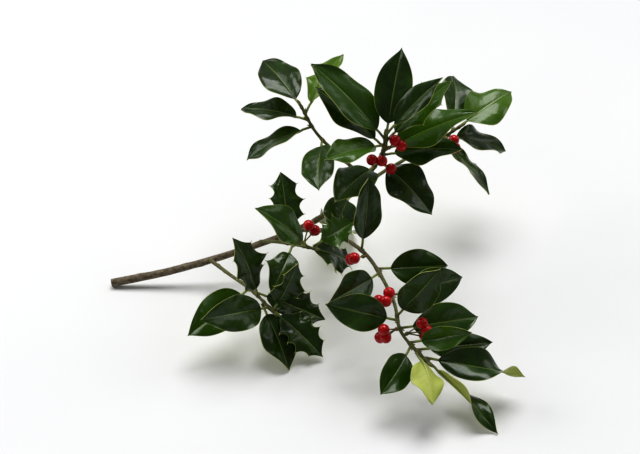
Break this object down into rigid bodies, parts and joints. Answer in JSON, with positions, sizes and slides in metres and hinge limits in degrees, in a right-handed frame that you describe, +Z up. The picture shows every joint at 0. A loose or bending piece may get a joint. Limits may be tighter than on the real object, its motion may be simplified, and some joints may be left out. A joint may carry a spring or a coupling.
{
  "type": "holly sprig",
  "caption": "A cut sprig of evergreen holly lying down: a woody stem with side twigs, glossy leaves and clusters of round red berries.",
  "frame": {"origin": "The point on the resting surface below the middle of the sprig's bounding box.", "axes": "+Z up from the resting surface. +X along the longest extent, from the stem's cut end towards the leafy end. -Y towards the viewer, where the front twig points."},
  "size_m": [0.321, 0.3094, 0.1846],
  "materials": {
    "leaf_green": "satin",
    "bark": "matte",
    "berry_red": "gloss"
  },
  "bodies": {
    "root": {"main_stem": "bark", "front_twig": "bark", "left_twig": "bark", "middle_twig": "bark", "right_twig": "bark", "back_twig": "bark", "leaf_top_01": "leaf_green", "leaf_top_02": "leaf_green", "leaf_top_03": "leaf_green", "leaf_top_04": "leaf_green", "leaf_top_05": "leaf_green", "leaf_top_06": "leaf_green", "leaf_top_07": "leaf_green", "leaf_top_08": "leaf_green", "leaf_top_09": "leaf_green", "leaf_top_10": "leaf_green", "leaf_right_01": "leaf_green", "leaf_right_02": "leaf_green", "leaf_right_03": "leaf_green", "leaf_right_04": "leaf_green", "leaf_stem_01": "leaf_green", "leaf_stem_02": "leaf_green", "leaf_front_01": "leaf_green", "leaf_front_02": "leaf_green", "leaf_front_03": "leaf_green", "leaf_front_04": "leaf_green", "leaf_front_05": "leaf_green", "leaf_front_06": "leaf_green", "leaf_front_07": "leaf_green", "leaf_front_08": "leaf_green", "leaf_front_09": "leaf_green", "leaf_front_10": "leaf_green", "leaf_front_11": "leaf_green", "leaf_front_12": "leaf_green", "leaf_front_13": "leaf_green", "leaf_left_01": "leaf_green", "leaf_left_02": "leaf_green", "leaf_left_03": "leaf_green", "leaf_left_04": "leaf_green", "leaf_left_05": "leaf_green", "leaf_left_06": "leaf_green", "leaf_left_07": "leaf_green", "leaf_middle_01": "leaf_green", "leaf_middle_02": "leaf_green", "leaf_middle_03": "leaf_green", "leaf_middle_04": "leaf_green", "leaf_middle_05": "leaf_green", "leaf_back_01": "leaf_green", "leaf_back_02": "leaf_green", "leaf_back_03": "leaf_green", "leaf_back_04": "leaf_green", "leaf_back_05": "leaf_green", "berries_top_upper": "berry_red", "berries_top_lower": "berry_red", "berries_front_left": "berry_red", "berries_front_right": "berry_red", "berries_front_rear": "berry_red", "berries_front_upper": "berry_red", "berries_right": "berry_red", "berries_middle": "berry_red"}
  },
  "joints": []
}
